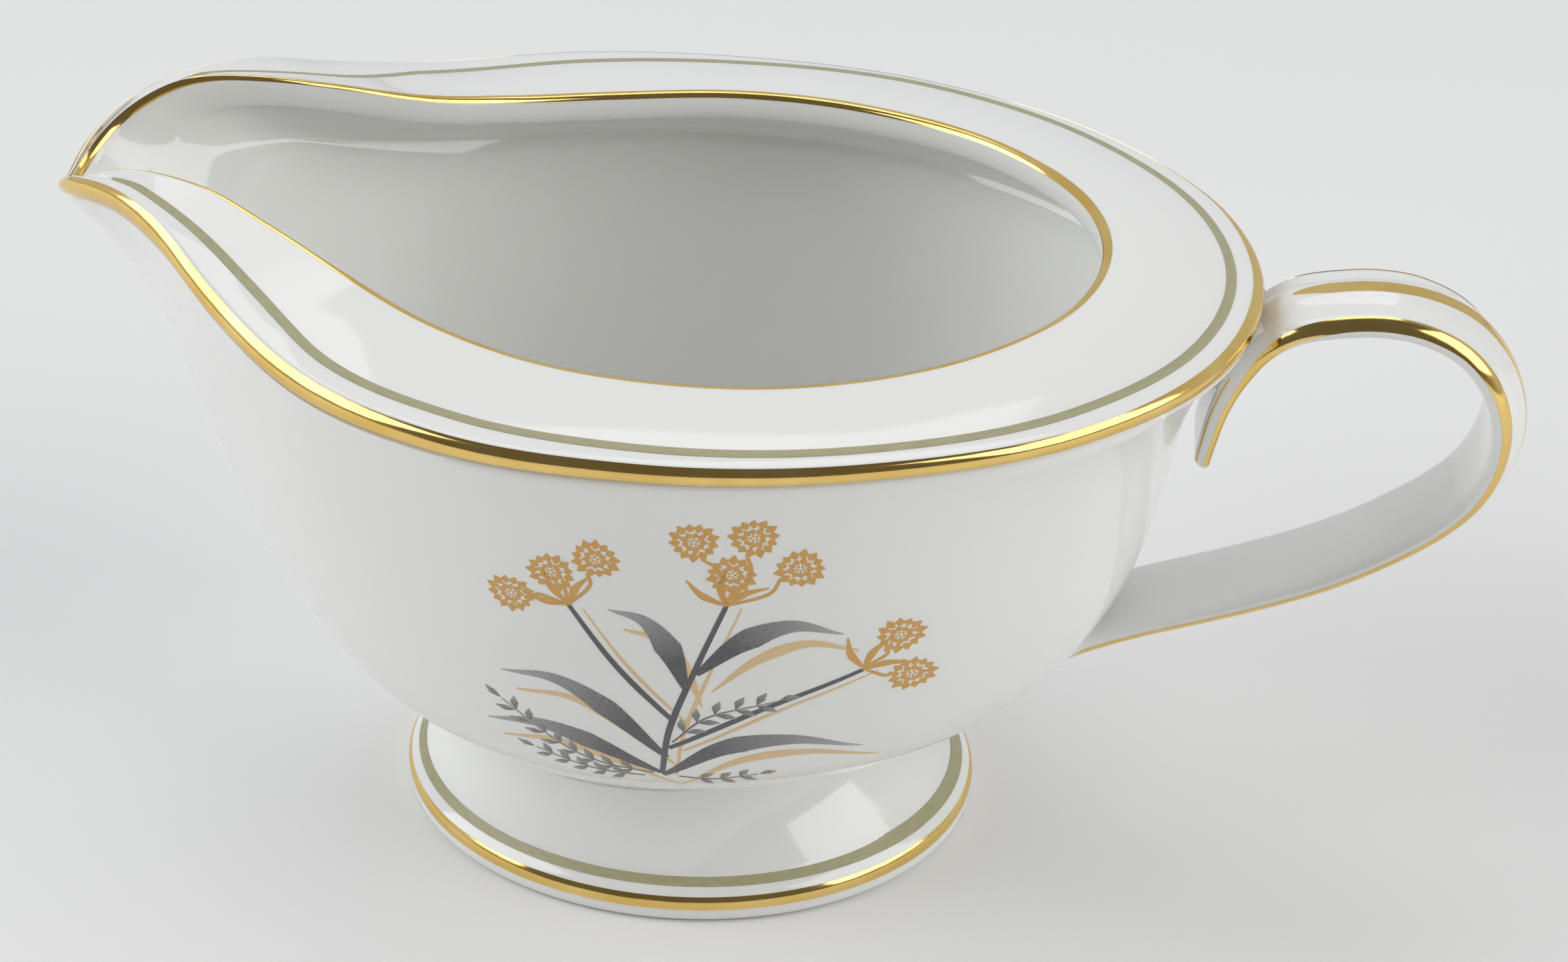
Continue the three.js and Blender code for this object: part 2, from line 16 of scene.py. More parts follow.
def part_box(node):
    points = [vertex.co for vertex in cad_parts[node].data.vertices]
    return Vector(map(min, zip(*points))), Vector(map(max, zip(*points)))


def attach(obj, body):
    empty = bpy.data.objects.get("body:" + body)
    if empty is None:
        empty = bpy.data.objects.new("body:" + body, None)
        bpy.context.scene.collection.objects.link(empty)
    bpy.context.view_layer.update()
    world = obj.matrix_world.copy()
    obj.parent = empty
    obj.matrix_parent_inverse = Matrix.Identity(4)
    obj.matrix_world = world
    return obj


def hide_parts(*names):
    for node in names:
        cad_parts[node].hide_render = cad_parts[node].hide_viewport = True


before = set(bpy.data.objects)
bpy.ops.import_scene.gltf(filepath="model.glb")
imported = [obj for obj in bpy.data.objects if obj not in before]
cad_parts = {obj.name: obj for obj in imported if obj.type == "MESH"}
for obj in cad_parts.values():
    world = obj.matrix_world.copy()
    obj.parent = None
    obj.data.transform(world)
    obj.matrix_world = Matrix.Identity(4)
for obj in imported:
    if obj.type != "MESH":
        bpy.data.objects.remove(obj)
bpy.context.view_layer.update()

# ---- dimensions of the ware, in millimetres ----
WALL = 2.8
WAIST = {"x": 24.6, "y": 24.2, "z": 17.0, "centre": -3.1}  # where the bowl sits on the foot
FOOT = {"x": 33.35, "y": 28.0, "centre": -0.35, "olive_z": 4.0, "olive_inset": 2.2, "wall": 3.4, "top": 16.4}
BASE = 1.0  # plain rolled edge of the foot below the plane that heights are measured from
foot_low, foot_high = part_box("gilt_foot_edge")
ORIGIN = np.array([(foot_low.x + foot_high.x) * 500 - FOOT["centre"], 0.0, BASE])
OLIVE = {"rise": 1.35, "half": 0.55}  # olive line on the collar
LIP_DEPTH = 3.4  # depth of the inner lip below the crest
UNDER_ROLL = {"in": 0.5, "down": 1.5}  # where the wall runs into the rolled edge
FILLET = 1.5  # slip in the corner between the foot and the bowl
STRAP = {"thick": 1.2, "ridge": 1.0, "swell": 1.4, "back": 1.2}
STRIPE = (0.18, 0.58)  # shares of the strap's length where its centre stripe starts and ends
LIFT = 0.03  # how far fired-on colour and gold stand above the glaze
SINK = 0.06  # how far they reach down into it

# Outer edge of the collar: angle from the handle, radius, height, size of its roll, inset of the olive line.
RIM_EDGE = np.array([
    (0, 60.6, 68.9, 1.3, 3.6), (15, 59.2, 68.9, 1.25, 3.5), (35, 54.3, 69.1, 1.15, 3.0),
    (60, 48.5, 69.5, 1.1, 2.5), (90, 45.9, 69.5, 1.2, 2.9), (115, 47.8, 69.8, 1.35, 3.7),
    (135, 50.5, 70.8, 1.6, 4.0), (150, 53.5, 74.1, 1.7, 5.0), (160, 57.0, 77.4, 1.6, 4.2),
    (167, 61.4, 78.0, 1.4, 2.9), (172, 65.9, 76.4, 1.3, 2.2), (176, 68.3, 74.0, 1.2, 1.6),
    (180, 69.0, 71.6, 1.1, 1.2)])
# Inner crest of the collar: angle from the handle, radius, height.
RIM_CREST = np.array([
    (0, 44.0, 72.5), (15, 43.0, 72.4), (35, 39.5, 72.3), (60, 35.3, 72.1), (90, 32.7, 72.1),
    (115, 33.0, 72.2), (135, 35.6, 73.2), (150, 39.9, 75.2), (160, 46.2, 78.0), (166, 52.3, 79.8),
    (169.5, 59.1, 80.0), (172.5, 64.4, 77.2), (176, 66.9, 74.6), (180, 67.7, 73.0)])
# The bowl below the collar is an egg in plan: its reach towards the handle, half width, reach towards
# the spout, bluntness of that end (2 is an ellipse), and how late it turns into the rim's plan.
EGG = {"back": 59.1, "half": 44.8, "front": 60.3, "nose": 1.78, "pinch": 8}
# Profile of the wall at its side, handle end and spout end: the two powers of its curve, and the
# share of it that flares out only near the top.
SIDE, BACK, FRONT = (1.45, 2.1, 0.0), (3.1, 2.2, 0.16), (1.2, 2.6, 0.0)
# Centre line of the strap in the plane of the jug, from the spur's tip to the lower root.
HANDLE_PATH = np.array([
    (55.6, 50.4), (56.2, 53.9), (57.0, 57.4), (58.4, 61.0), (60.7, 64.6), (64.0, 67.1), (68.2, 68.3),
    (72.8, 68.8), (77.2, 68.2), (81.5, 66.1), (84.7, 62.4), (86.4, 57.8), (86.4, 52.9), (84.7, 48.2),
    (81.4, 44.2), (76.5, 40.3), (70.6, 36.6), (64.3, 33.6), (57.6, 30.9), (51.0, 28.4), (45.2, 25.8),
    (39.5, 22.7)])
# Block that carries the strap's upper end to the wall.
ROOT_BLOCK = [(50, 59.2), (56.9, 58.9), (58.6, 62.0), (60.8, 64.9), (62.4, 66.6), (59.2, 66.3),
              (57.0, 65.6), (50, 65.2)]


# ---- curves ----
def through(rows, column):
    """A smooth curve over the angle through one column of a rim table, level at both ends."""
    knots, values = rows[:, 0], rows[:, column]
    secants = np.diff(values) / np.diff(knots)
    slopes = np.zeros(len(knots))
    slopes[1:-1] = (secants[:-1] + secants[1:]) / 2

    def curve(angle):
        at = np.minimum(np.abs(angle), 180.0)
        i = np.clip(np.searchsorted(knots, at) - 1, 0, len(knots) - 2)
        width = knots[i + 1] - knots[i]
        t = (at - knots[i]) / width
        u = 1 - t
        return (values[i] * (1 + 2 * t) * u * u + values[i + 1] * (3 - 2 * t) * t * t
                + width * (slopes[i] * t * u * u - slopes[i + 1] * u * t * t))
    return curve


def softened(curve, spread):
    """The same curve with the small changes of bend at its knots evened out."""
    grid = np.linspace(-200, 200, 4001)
    folded = np.where(np.abs(grid) > 180, 360 - np.abs(grid), np.abs(grid))
    values = curve(folded)
    reach = np.arange(-60, 61) * 0.1
    kernel = np.exp(-0.5 * (reach / spread) ** 2)
    even = np.convolve(values, kernel / kernel.sum(), mode="same")
    return lambda angle: np.interp(np.abs(angle), grid, even)


edge_radius, edge_height, edge_roll, olive_inset = (
    softened(through(RIM_EDGE, column), 1.6) for column in (1, 2, 3, 4))
crest_radius, crest_height = (softened(through(RIM_CREST, column), 1.2) for column in (1, 2))


def points(x, y, z):
    return np.stack(np.broadcast_arrays(x, y, z), axis=-1).astype(float)


def polar(angle, radius, z):
    a = np.radians(angle)
    return points(radius * np.cos(a), radius * np.sin(a), z)


def waist_point(angle, inset, z):
    a = np.radians(angle)
    return points(WAIST["centre"] + (WAIST["x"] - inset) * np.cos(a), (WAIST["y"] - inset) * np.sin(a), z)


def egg_radius(angle):
    a = np.radians(angle)
    back = np.cos(a) > 0
    reach = np.where(back, EGG["back"], EGG["front"])
    power = np.where(back, 2.0, EGG["nose"])
    along, across = np.abs(np.cos(a)) / reach, np.abs(np.sin(a)) / EGG["half"]
    return (along ** power + across ** power) ** (-1 / power)


def swell(angle):
    """The three numbers of the wall's profile, blended from the ends to the side."""
    a = np.radians(angle)
    side = np.sin(a) ** 2
    return [np.where(np.cos(a) > 0, b, f) * (1 - side) + s * side for s, b, f in zip(SIDE, BACK, FRONT)]


def wall_top(angle):
    return polar(angle, edge_radius(angle) - UNDER_ROLL["in"], edge_height(angle) - UNDER_ROLL["down"])


def wall_place(angle, share):
    """Point of the bowl's outer wall: share is 0 at the waist and 1 under the rolled edge."""
    angle, share = np.broadcast_arrays(np.asarray(angle, float), np.asarray(share, float))
    foot = waist_point(angle, 0, WAIST["z"])
    top = wall_top(angle)
    egg = polar(angle, egg_radius(angle), 0.0)
    low, high, flare = swell(angle)
    share = np.clip(share, 0, 1)
    full = (1 - flare) * (1 - (1 - share) ** low) ** (1 / high) + flare * share ** 8
    plan = egg + (top - egg) * (share ** EGG["pinch"])[..., None]
    place = foot + (plan - foot) * full[..., None]
    place[..., 2] = foot[..., 2] + (top[..., 2] - foot[..., 2]) * share
    return place


def wall_point(angle, share, push=0.0):
    """Point at a distance outside the bowl's outer wall, square to it."""
    place = wall_place(angle, share)
    angle = np.broadcast_to(np.asarray(angle, float), place.shape[:-1])
    along = wall_place(angle, np.asarray(share) + 0.003) - wall_place(angle, np.asarray(share) - 0.003)
    out = wall_top(angle) - waist_point(angle, 0, 0.0)
    out[..., 2] = 0.0
    out /= np.linalg.norm(out, axis=-1, keepdims=True)
    run = (along * out).sum(-1)
    length = np.hypot(run, along[..., 2]) + 1e-12
    moved = place + out * (push * along[..., 2] / length)[..., None]
    moved[..., 2] -= push * run / length
    return moved


def spline(rows, n):
    """Evenly spaced points on a smooth curve through rows."""
    rows = np.asarray(rows, float)
    padded = np.vstack([2 * rows[0] - rows[1], rows, 2 * rows[-1] - rows[-2]])
    dense = []
    for i in range(1, len(padded) - 2):
        a, b, c, d = padded[i - 1:i + 3]
        t = np.linspace(0, 1, 24, endpoint=False)[:, None]
        dense.append(0.5 * (2 * b + (c - a) * t + (2 * a - 5 * b + 4 * c - d) * t ** 2
                            + (3 * b - a - 3 * c + d) * t ** 3))
    dense = np.vstack(dense + [padded[-2][None]])
    length = np.concatenate([[0], np.cumsum(np.linalg.norm(np.diff(dense, axis=0), axis=1))])
    at = np.linspace(0, length[-1], n)
    return np.stack([np.interp(at, length, dense[:, k]) for k in range(rows.shape[1])], axis=-1)


# ---- meshes ----
def ribbon_faces(rows, columns, close_rows, close_columns):
    """Four-sided faces between neighbouring points of a grid."""
    faces = []
    for i in range(rows if close_rows else rows - 1):
        for j in range(columns if close_columns else columns - 1):
            a, b = i * columns, ((i + 1) % rows) * columns
            k = (j + 1) % columns
            faces.append((a + j, a + k, b + k, b + j))
    return faces


def piece(name, vertices, faces, material, replaced, sharp=55, uv=None):
    """A closed mesh, given in millimetres about the foot's centre, as a named piece of the jug."""
    mesh = bpy.data.meshes.new(name)
    placed = (np.asarray(vertices) + ORIGIN) * 0.001
    mesh.from_pydata(placed.tolist(), [], faces)
    if uv is not None:
        layer = mesh.uv_layers.new(name="run")
        corner = np.zeros(len(mesh.loops), int)
        mesh.loops.foreach_get("vertex_index", corner)
        layer.data.foreach_set("uv", np.asarray(uv, float)[corner].ravel())
    form = bmesh.new()
    form.from_mesh(mesh)
    bmesh.ops.remove_doubles(form, verts=form.verts, dist=1e-8)
    bmesh.ops.recalc_face_normals(form, faces=form.faces)
    form.to_mesh(mesh)
    form.free()
    mesh.shade_smooth()
    mesh.set_sharp_from_angle(angle=math.radians(sharp))
    made = bpy.data.objects.new(name, mesh)
    bpy.context.scene.collection.objects.link(made)
    made.data.materials.append(material)
    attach(made, "root")
    if replaced:
        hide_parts(*replaced)
    return made


def shell(top, under, close_rows=False, along=1.0):
    """Vertices, faces and run coordinates of a thin closed film from two grids of the same size."""
    rows, columns = top.shape[:2]
    vertices = np.concatenate([top, under[:, ::-1]], axis=1).reshape(-1, 3)
    faces = ribbon_faces(rows, columns * 2, close_rows, True)
    if not close_rows:
        faces += [tuple(range(columns * 2)), tuple(range((rows - 1) * columns * 2, rows * columns * 2))]
    u = np.linspace(0, along, rows)[:, None] * np.ones(columns * 2)
    side = np.linspace(0, 1, columns)
    v = np.ones(rows)[:, None] * np.concatenate([side, side[::-1]])
    return vertices, faces, np.stack([u, v], axis=-1).reshape(-1, 2)


def joined(shells):
    """Several closed films as one mesh."""
    vertices, faces, uvs, start = [], [], [], 0
    for vertex, face, uv in shells:
        vertices.append(vertex)
        uvs.append(uv)
        faces += [tuple(k + start for k in f) for f in face]
        start += len(vertex)
    return np.vstack(vertices), faces, np.vstack(uvs)


# ---- materials ----
def nodes_of(name):
    material = bpy.data.materials.new(name)
    material.use_nodes = True
    tree = material.node_tree
    return material, tree, tree.nodes["Principled BSDF"]


def noise(tree, source, scale, detail=3.0, stretch=(1, 1, 1)):
    mapping = tree.nodes.new("ShaderNodeMapping")
    mapping.inputs["Scale"].default_value = stretch
    tree.links.new(source, mapping.inputs["Vector"])
    texture = tree.nodes.new("ShaderNodeTexNoise")
    texture.inputs["Scale"].default_value = scale
    texture.inputs["Detail"].default_value = detail
    tree.links.new(mapping.outputs["Vector"], texture.inputs["Vector"])
    return texture.outputs["Fac"]


def ramp(tree, source, *stops):
    """A colour ramp on source; each stop is a position and a colour."""
    made = tree.nodes.new("ShaderNodeValToRGB")
    elements = made.color_ramp.elements
    while len(elements) < len(stops):
        elements.new(0.5)
    for element, (position, colour) in zip(elements, stops):
        element.position = position
        element.color = (*colour, 1)
    tree.links.new(source, made.inputs["Fac"])
    return made.outputs["Color"]


def grey(value):
    return (value, value, value)


def bumped(tree, shader, source, strength, distance):
    bump = tree.nodes.new("ShaderNodeBump")
    bump.inputs["Strength"].default_value = strength
    bump.inputs["Distance"].default_value = distance
    tree.links.new(source, bump.inputs["Height"])
    tree.links.new(bump.outputs["Normal"], shader.inputs["Normal"])


def glaze_material():
    """Hard white porcelain under a clear glaze: faint clouding, orange peel and rare specks."""
    material, tree, shader = nodes_of("porcelain_glaze")
    place = tree.nodes.new("ShaderNodeTexCoord").outputs["Object"]
    cloud = ramp(tree, noise(tree, place, 22), (0.3, (0.845, 0.85, 0.825)), (0.7, (0.875, 0.88, 0.855)))
    speck = ramp(tree, noise(tree, place, 900, 1), (0.845, grey(1.0)), (0.86, grey(0.3)))
    mixed = tree.nodes.new("ShaderNodeMix")
    mixed.data_type, mixed.blend_type = "RGBA", "MULTIPLY"
    mixed.inputs["Factor"].default_value = 1.0
    tree.links.new(cloud, mixed.inputs["A"])
    tree.links.new(speck, mixed.inputs["B"])
    tree.links.new(mixed.outputs["Result"], shader.inputs["Base Color"])
    sheen = ramp(tree, noise(tree, place, 60), (0.3, grey(0.07)), (0.7, grey(0.13)))
    tree.links.new(sheen, shader.inputs["Roughness"])
    shader.inputs["IOR"].default_value = 1.5
    shader.inputs["Subsurface Weight"].default_value = 0.12
    shader.inputs["Subsurface Radius"].default_value = (0.0022, 0.0020, 0.0016)
    shader.inputs["Subsurface Scale"].default_value = 1.0
    shader.inputs["Coat Weight"].default_value = 0.35
    shader.inputs["Coat Roughness"].default_value = 0.03
    bumped(tree, shader, noise(tree, place, 420, 2), 0.05, 0.0002)
    return material


def gold_material():
    """Bright fired gold: faint brush marks along the band, and small changes of tone."""
    material, tree, shader = nodes_of("bright_gold")
    place = tree.nodes.new("ShaderNodeTexCoord").outputs["Object"]
    run = tree.nodes.new("ShaderNodeTexCoord").outputs["UV"]
    stroke = noise(tree, run, 5, 2, (0.4, 5, 1))
    tone = ramp(tree, noise(tree, place, 120, 3), (0.35, (0.80, 0.53, 0.15)), (0.65, (0.88, 0.63, 0.22)))
    tree.links.new(tone, shader.inputs["Base Color"])
    tree.links.new(ramp(tree, stroke, (0.3, grey(0.07)), (0.72, grey(0.15))), shader.inputs["Roughness"])
    shader.inputs["Metallic"].default_value = 1.0
    bumped(tree, shader, stroke, 0.06, 0.00005)
    return material


def enamel_material(name, thin, thick, rough=0.3, scale=3.0):
    """On-glaze colour laid with a brush: streaked along the band, a little thinner in places."""
    material, tree, shader = nodes_of(name)
    run = tree.nodes.new("ShaderNodeTexCoord").outputs["UV"]
    stroke = noise(tree, run, scale, 4, (0.5, 6, 1))
    tree.links.new(ramp(tree, stroke, (0.3, thin), (0.65, thick)), shader.inputs["Base Color"])
    sheen = ramp(tree, stroke, (0.3, grey(rough - 0.06)), (0.7, grey(rough + 0.1)))
    tree.links.new(sheen, shader.inputs["Roughness"])
    bumped(tree, shader, stroke, 0.15, 0.00005)
    return material


def leaf_material(name, root, tip, reach):
    """Printed leaf, finely grained: it pales between the two shares of its length in reach."""
    material, tree, shader = nodes_of(name)
    run = tree.nodes.new("ShaderNodeTexCoord").outputs["UV"]
    place = tree.nodes.new("ShaderNodeTexCoord").outputs["Object"]
    split = tree.nodes.new("ShaderNodeSeparateXYZ")
    tree.links.new(run, split.inputs["Vector"])
    fade = ramp(tree, split.outputs["X"], (reach[0], grey(0.0)), (reach[1], grey(0.75)))
    dots = noise(tree, place, 2600, 2)
    total = tree.nodes.new("ShaderNodeMath")
    total.operation = "MULTIPLY_ADD"
    total.inputs[1].default_value = 0.25
    tree.links.new(dots, total.inputs[0])
    tree.links.new(fade, total.inputs[2])
    colour = ramp(tree, total.outputs["Value"], (0.1, root), (0.95, tip))
    tree.links.new(colour, shader.inputs["Base Color"])
    tree.links.new(ramp(tree, dots, (0.3, grey(0.2)), (0.7, grey(0.38))), shader.inputs["Roughness"])
    return material


GLAZE = glaze_material()
GOLD = gold_material()
OLIVE_COLOUR = enamel_material("olive_enamel", (0.47, 0.45, 0.29), (0.33, 0.31, 0.16), 0.34, 5.0)
OCHRE = enamel_material("ochre_enamel", (0.73, 0.43, 0.13), (0.62, 0.33, 0.075))
TAN = enamel_material("tan_enamel", (0.80, 0.62, 0.37), (0.72, 0.50, 0.25))
CHARCOAL = leaf_material("charcoal_enamel", (0.085, 0.087, 0.095), (0.46, 0.46, 0.46), (0.3, 1.0))
INK = enamel_material("ink_enamel", (0.125, 0.127, 0.135), (0.08, 0.082, 0.09))
GREY = leaf_material("grey_enamel", (0.17, 0.17, 0.16), (0.36, 0.36, 0.34), (0.2, 1.0))


# ---- the bowl with its collar ----
def rim_angles():
    """Stations round the rim, closer together towards the narrow spout."""
    half = np.concatenate([np.arange(0, 144, 1.5), np.arange(144, 160, 0.8), np.arange(160, 180.01, 0.4)])
    half[-1] = 180.0
    return np.concatenate([-half[1:-1][::-1], half])


def collar(angle):
    """The collar's section at each angle: places are given by inset from the edge and rise above it."""
    angle = np.asarray(angle, float)[:, None]
    width = edge_radius(angle) - crest_radius(angle)
    climb = crest_height(angle) - edge_height(angle)
    bead = np.minimum(edge_roll(angle), 0.45 + 0.42 * width)
    olive = np.minimum(olive_inset(angle), 0.6 * width)
    olive_rise = np.minimum(OLIVE["rise"], 0.7 * climb)

    def at(inset, rise):
        return polar(angle + 0 * inset, edge_radius(angle) - inset, edge_height(angle) + rise)

    def roll(degrees, lift=0.0):
        a = np.radians(np.atleast_2d(np.asarray(degrees, float)))
        return at(bead - (bead + lift) * np.cos(a), (bead + lift) * np.sin(a))

    def shoulder_rise(inset):
        t = np.clip((inset - olive) / (width - olive), 0, 1)
        return olive_rise + (climb - olive_rise) * (1 - (1 - t) ** 2)

    return {"width": width, "climb": climb, "bead": bead, "olive": olive, "olive_rise": olive_rise,
            "at": at, "roll": roll, "shoulder_rise": shoulder_rise}


def crest_section(c):
    """Inset and rise of the rounded crest and inner lip, from the shoulder's end downwards."""
    width, climb = c["width"], c["climb"]
    small = np.clip(width / 6, 0.25, 1)
    insets = np.hstack([width - 0.32 * small, width + 0.02, width + 0.34, width + 0.60, width + 0.74])
    rises = np.hstack([climb, climb - 0.015, climb - 0.13, climb - 0.42, climb - 0.9])
    return insets, rises


def bowl_rings(angles):
    """Rings of points over the wall, collar, crest and lip, and down the inside to the floor."""
    c = collar(angles)
    rings = [waist_point(angles, 9, WAIST["z"])[:, None]]
    shares = np.linspace(0, 1, 56) ** 1.9
    rings.append(wall_point(angles[:, None], shares[None, :]))
    rings.append(c["roll"](np.linspace(-72, 78, 16)))
    ledge = c["olive"] - np.minimum(OLIVE["half"] + 0.05, 0.14 * c["width"])
    rings.append(c["at"](ledge, c["olive_rise"] - 0.03))
    steps = np.linspace(0, 1, 18)[None, :]
    small = np.clip(c["width"] / 6, 0.25, 1)
    inset = c["olive"] + (c["width"] - 0.5 * small - c["olive"]) * steps
    rings.append(c["at"](inset, c["shoulder_rise"](inset)))
    insets, rises = crest_section(c)
    rings.append(c["at"](insets, rises))
    # Inner lip, the undercut beneath the collar, then the inside of the wall.
    open_ = np.clip((c["width"] - 3) / 7, 0, 1)
    height = edge_height(angles)[:, None] - UNDER_ROLL["down"] - WAIST["z"]
    top = 1 - (5.5 * open_ + 4.5 * (1 - open_)) / height
    inner_top = wall_point(angles[:, None], top, -WALL)
    lip_top = c["at"](insets[:, -1:], rises[:, -1:])
    knots = [lip_top[:, 0]]
    for t, inset, rise in ((0.25, c["width"] + 0.78, c["climb"] - 0.6 * LIP_DEPTH),
                           (0.5, c["width"] - 0.1, c["climb"] - LIP_DEPTH),
                           (0.78, 0.55 * c["width"] + 1.4, -1.6)):
        straight = lip_top + (inner_top - lip_top) * t
        knots.append((straight + (c["at"](inset, rise) - straight) * open_[..., None])[:, 0])
    inner = wall_point(angles[:, None], top * np.linspace(1, 0, 45)[None, :] ** 1.6, -WALL)
    knots += [inner_top[:, 0], inner[:, 1]]
    lip = np.stack([spline(np.stack([k[i] for k in knots]), 27) for i in range(len(angles))])
    rings.append(lip[:, 1:-1])
    rings.append(inner[:, 1:])
    rings.append(waist_point(angles, 6, WAIST["z"] + WALL - 0.05)[:, None])
    return np.concatenate(rings, axis=1)


def pole_skin(rings, low, high):
    """Vertices and faces of rings closed by a point at each end."""
    rows, columns = rings.shape[:2]
    vertices = np.vstack([rings.reshape(-1, 3), low, high])
    faces = ribbon_faces(rows, columns, True, False)
    for i in range(rows):
        j = (i + 1) % rows
        faces.append((i * columns, j * columns, rows * columns))
        faces.append((i * columns + columns - 1, j * columns + columns - 1, rows * columns + 1))
    return vertices, faces


angles = rim_angles()
under_floor, on_floor = ((WAIST["centre"], 0, WAIST["z"] + rise) for rise in (0, WALL - 0.15))
bowl_vertices, bowl_faces = pole_skin(bowl_rings(angles), under_floor, on_floor)
bowl = piece("bowl_with_collar", bowl_vertices, bowl_faces, GLAZE,
             ["body_casting"], sharp=75)


# ---- foot ----
FOOT_ANGLES = np.arange(0, 360, 2.0)


def foot_point(angle, inset, z):
    a = np.radians(angle)
    normal = points(np.cos(a) / FOOT["x"], np.sin(a) / FOOT["y"], 0.0)
    normal /= np.linalg.norm(normal, axis=-1, keepdims=True)
    return points(FOOT["centre"] + FOOT["x"] * np.cos(a), FOOT["y"] * np.sin(a), z) - normal * inset


def foot_flare(angle, share, inset=0.0):
    """Point of the foot's hollow-curved side: share is 0 at the olive line and 1 under the bowl."""
    low = foot_point(angle, FOOT["olive_inset"], FOOT["olive_z"])
    high = waist_point(angle, 0.2, FOOT["top"])
    flared = low + (high - low) * (1 - (1 - share) ** 2.2)
    flared[..., 2] = low[..., 2] + (high[..., 2] - low[..., 2]) * share
    centre = points(WAIST["centre"], 0.0, flared[..., 2])
    out = flared - centre
    return flared - out / np.linalg.norm(out, axis=-1, keepdims=True) * inset


# Outer side of the foot below the flare: inset from the edge, and height.
FOOT_ROLL = [(1.4, -1.0), (0.8, -0.86), (0.38, -0.52), (0.14, -0.1), (0.08, 0.3), (0.1, 0.62)]
FOOT_GOLD = [(0.12, 1.0), (0.05, 1.35), (0.02, 1.6), (0.06, 1.9), (0.16, 2.2), (0.42, 2.6)]
FOOT_SHOULDER = [(0.85, 3.0), (1.3, 3.35), (1.75, 3.68)]
FOOT_OLIVE = FOOT_SHOULDER[1:] + [(2.2, 4.0), (2.62, 4.32)]
FOOT_INSIDE = [(5.4, 1.6), (4.9, 0.2), (4.2, -BASE)]
foot_rings = [foot_point(FOOT_ANGLES, inset, z) for inset, z in FOOT_ROLL + FOOT_GOLD + FOOT_SHOULDER]
foot_rings += [foot_flare(FOOT_ANGLES, s) for s in np.linspace(0, 1, 24)]
foot_rings += [waist_point(FOOT_ANGLES, FOOT["wall"], FOOT["top"])]
foot_rings += [foot_flare(FOOT_ANGLES, s, FOOT["wall"]) for s in np.linspace(0.9, 0.15, 10)]
foot_rings += [foot_point(FOOT_ANGLES, inset, z) for inset, z in FOOT_INSIDE]
foot_grid = np.stack(foot_rings, axis=1)
piece("foot_ring", foot_grid.reshape(-1, 3), ribbon_faces(*foot_grid.shape[:2], True, True), GLAZE,
      ["foot_casting"], sharp=60)

# Glazed slip in the corner between the foot and the bowl.
corner = []
for turn in np.radians(np.linspace(0, 90, 9)):
    rise, reach = FILLET * (1 - math.cos(turn)), FILLET * (1 - math.sin(turn))
    corner.append(waist_point(FOOT_ANGLES, 0.12 - reach, WAIST["z"] - FILLET + rise + 0.05))
corner += [waist_point(FOOT_ANGLES, 0.9, WAIST["z"] + 0.3), waist_point(FOOT_ANGLES, 0.9, WAIST["z"] - 1.6)]
corner_grid = np.stack(corner, axis=1)
piece("foot_slip_fillet", corner_grid.reshape(-1, 3), ribbon_faces(*corner_grid.shape[:2], True, True), GLAZE,
      ["foot_slip_joint"])

# ---- handle ----
handle_line = spline(HANDLE_PATH, 260)
handle_run = np.linspace(0, 1, len(handle_line))
handle_tangent = np.gradient(handle_line, axis=0)
handle_tangent /= np.linalg.norm(handle_tangent, axis=1, keepdims=True)


def ridge(t):
    """Height of the strap's ridge, which starts at the top of the spur and grows round the loop."""
    start, growth = np.clip((t - 0.1) / 0.08, 0, 1), np.clip((t - 0.28) / 0.18, 0, 1)
    return STRAP["ridge"] * start + STRAP["swell"] * growth


def strap_half(t):
    """Half section of the strap: distance from the middle and height above the centre line."""
    thick, rise = STRAP["thick"], ridge(t)
    return [(0, thick + rise * 0.75), (1.0, thick + rise * 0.72), (2.0, thick + rise * 0.44),
            (3.3, thick + rise * 0.14), (4.7, thick), (5.6, thick - 0.36), (6.25, -0.05), (6.0, -0.85),
            (5.0, -STRAP["back"] + 0.04), (2.4, -STRAP["back"]), (0, -STRAP["back"])]


def strap_section(t, at):
    """Points of the section at positions counted in steps of its outline, positive on the near side."""
    half = np.array(strap_half(t))
    ring = np.vstack([half, half[-2:0:-1] * (-1, 1)])
    n = len(ring)
    at = -np.asarray(at, float) % n
    i = np.floor(at).astype(int)
    f = (at - i)[:, None]
    a, b, c, d = (ring[(i + k) % n] for k in (-1, 0, 1, 2))
    return 0.5 * (2 * b + (c - a) * f + (2 * a - 5 * b + 4 * c - d) * f ** 2
                  + (3 * b - a - 3 * c + d) * f ** 3)


def on_strap(t, section, lift=0.0):
    """Places a section on the strap at share t of its length."""
    centre = np.array([np.interp(t, handle_run, handle_line[:, k]) for k in (0, 1)])
    along = np.array([np.interp(t, handle_run, handle_tangent[:, k]) for k in (0, 1)])
    along /= np.linalg.norm(along)
    slim = 0.72 + 0.28 * min(1, t / 0.12)
    y, n = section[:, 0], section[:, 1] * slim
    if lift:
        d = np.gradient(np.stack([y, n], axis=1), axis=0)
        d /= np.linalg.norm(d, axis=1, keepdims=True)
        y, n = y - d[:, 1] * lift, n + d[:, 0] * lift
    return points(centre[0] - along[1] * n, y, centre[1] + along[0] * n)


wall_tree = BVHTree.FromPolygons([Vector(np.array(v.co) * 1000 - ORIGIN) for v in bowl.data.vertices],
                                 [tuple(f.vertices) for f in bowl.data.polygons])


